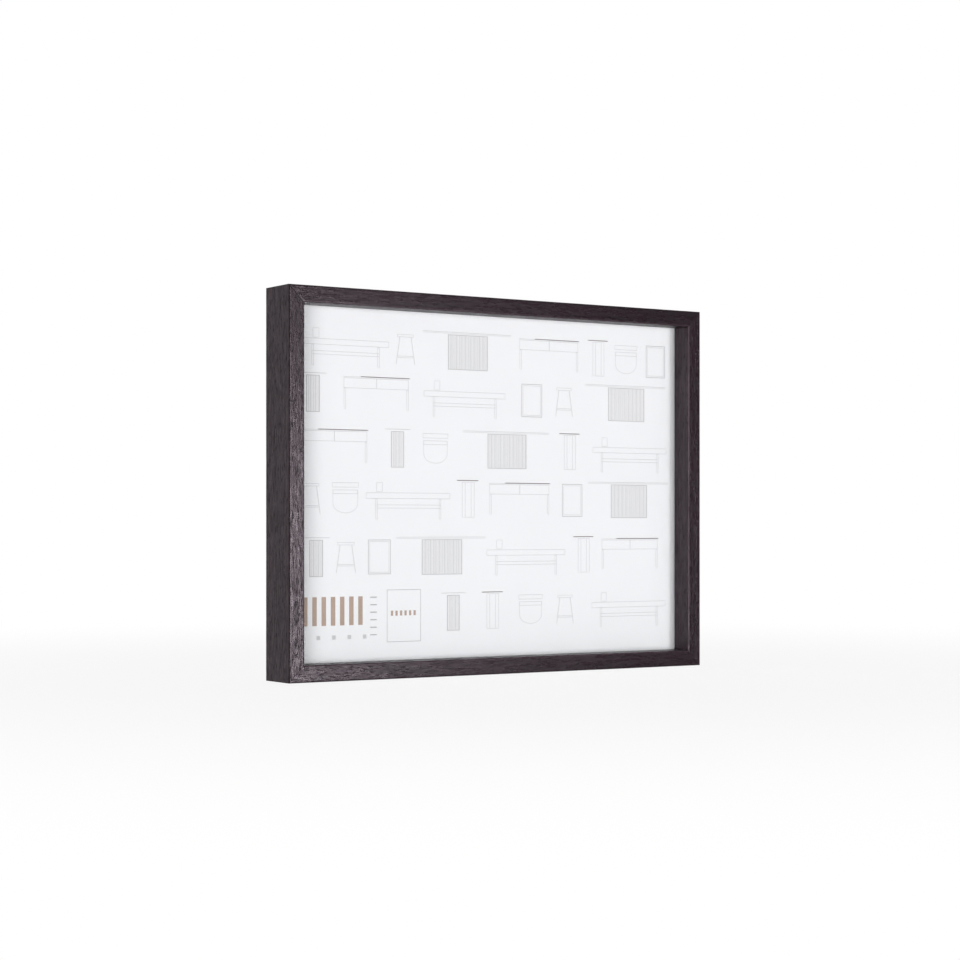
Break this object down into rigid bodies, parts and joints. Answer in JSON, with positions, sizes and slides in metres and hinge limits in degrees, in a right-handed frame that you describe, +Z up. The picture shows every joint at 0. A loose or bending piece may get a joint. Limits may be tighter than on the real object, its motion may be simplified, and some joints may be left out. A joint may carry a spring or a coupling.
{
  "type": "shadow box frame",
  "caption": "Deep landscape shadow-box picture frame in dark stained wood, with mitred rails, recessed glass over a printed insert, turn-button back and D-ring hangers.",
  "frame": {"origin": "on the surface that the frame stands on, under the middle of its width and of its whole depth", "axes": "+X to the right seen from the front, +Y backwards towards the wall, +Z up; the glass side faces -Y"},
  "size_m": [0.418, 0.0434, 0.318],
  "materials": {
    "stained_wood": "dark espresso stain, open grain, satin",
    "clear_glass": "clear polished float glass",
    "printed_paper": "matt coated paper with pale line drawings",
    "kraft_card": "corrugated kraft board",
    "spacer_board": "bare softwood strip",
    "fibreboard": "smooth brown fibreboard",
    "zinc_steel": "bright zinc plate",
    "black_rubber": "matt rubber"
  },
  "bodies": {
    "frame": {"top_rail": "stained_wood", "bottom_rail": "stained_wood", "left_stile": "stained_wood", "right_stile": "stained_wood", "corner_v_nails": "zinc_steel", "turn_button_screws": "zinc_steel", "glass_pane": "clear_glass", "insert_sheet": "printed_paper", "backing_card": "kraft_card", "top_spacer": "spacer_board", "bottom_spacer": "spacer_board", "left_spacer": "spacer_board", "right_spacer": "spacer_board", "back_panel": "fibreboard", "hanger_strap_left": "zinc_steel", "hanger_strap_right": "zinc_steel", "hanger_rivets": "zinc_steel", "wall_bumpers": "black_rubber"},
    "turn_button_top_1": {"turn_button_top_1": "zinc_steel"},
    "turn_button_top_2": {"turn_button_top_2": "zinc_steel"},
    "turn_button_right_1": {"turn_button_right_1": "zinc_steel"},
    "turn_button_right_2": {"turn_button_right_2": "zinc_steel"},
    "turn_button_bottom_1": {"turn_button_bottom_1": "zinc_steel"},
    "turn_button_bottom_2": {"turn_button_bottom_2": "zinc_steel"},
    "turn_button_left_1": {"turn_button_left_1": "zinc_steel"},
    "turn_button_left_2": {"turn_button_left_2": "zinc_steel"},
    "hanger_ring_left": {"hanger_ring_left": "zinc_steel"},
    "hanger_ring_right": {"hanger_ring_right": "zinc_steel"}
  },
  "joints": [
    {"name": "turn_button_top_1_turn", "type": "hinge", "parent": "frame", "child": "turn_button_top_1", "pos_m": [-0.1, 0.01825, 0.314], "axis": [0, 1, 0], "continuous": true},
    {"name": "turn_button_top_2_turn", "type": "hinge", "parent": "frame", "child": "turn_button_top_2", "pos_m": [0.1, 0.01825, 0.314], "axis": [0, 1, 0], "continuous": true},
    {"name": "turn_button_right_1_turn", "type": "hinge", "parent": "frame", "child": "turn_button_right_1", "pos_m": [0.205, 0.01825, 0.234], "axis": [0, 1, 0], "continuous": true},
    {"name": "turn_button_right_2_turn", "type": "hinge", "parent": "frame", "child": "turn_button_right_2", "pos_m": [0.205, 0.01825, 0.084], "axis": [0, 1, 0], "continuous": true},
    {"name": "turn_button_bottom_1_turn", "type": "hinge", "parent": "frame", "child": "turn_button_bottom_1", "pos_m": [0.1, 0.01825, 0.004], "axis": [0, 1, 0], "continuous": true},
    {"name": "turn_button_bottom_2_turn", "type": "hinge", "parent": "frame", "child": "turn_button_bottom_2", "pos_m": [-0.1, 0.01825, 0.004], "axis": [0, 1, 0], "continuous": true},
    {"name": "turn_button_left_1_turn", "type": "hinge", "parent": "frame", "child": "turn_button_left_1", "pos_m": [-0.205, 0.01825, 0.084], "axis": [0, 1, 0], "continuous": true},
    {"name": "turn_button_left_2_turn", "type": "hinge", "parent": "frame", "child": "turn_button_left_2", "pos_m": [-0.205, 0.01825, 0.234], "axis": [0, 1, 0], "continuous": true},
    {"name": "hanger_ring_left_swing", "type": "hinge", "parent": "frame", "child": "hanger_ring_left", "pos_m": [-0.11, 0.01973, 0.256], "axis": [1, 0, 0], "range_deg": [0, 178]},
    {"name": "hanger_ring_right_swing", "type": "hinge", "parent": "frame", "child": "hanger_ring_right", "pos_m": [0.11, 0.01973, 0.256], "axis": [1, 0, 0], "range_deg": [0, 178]}
  ]
}
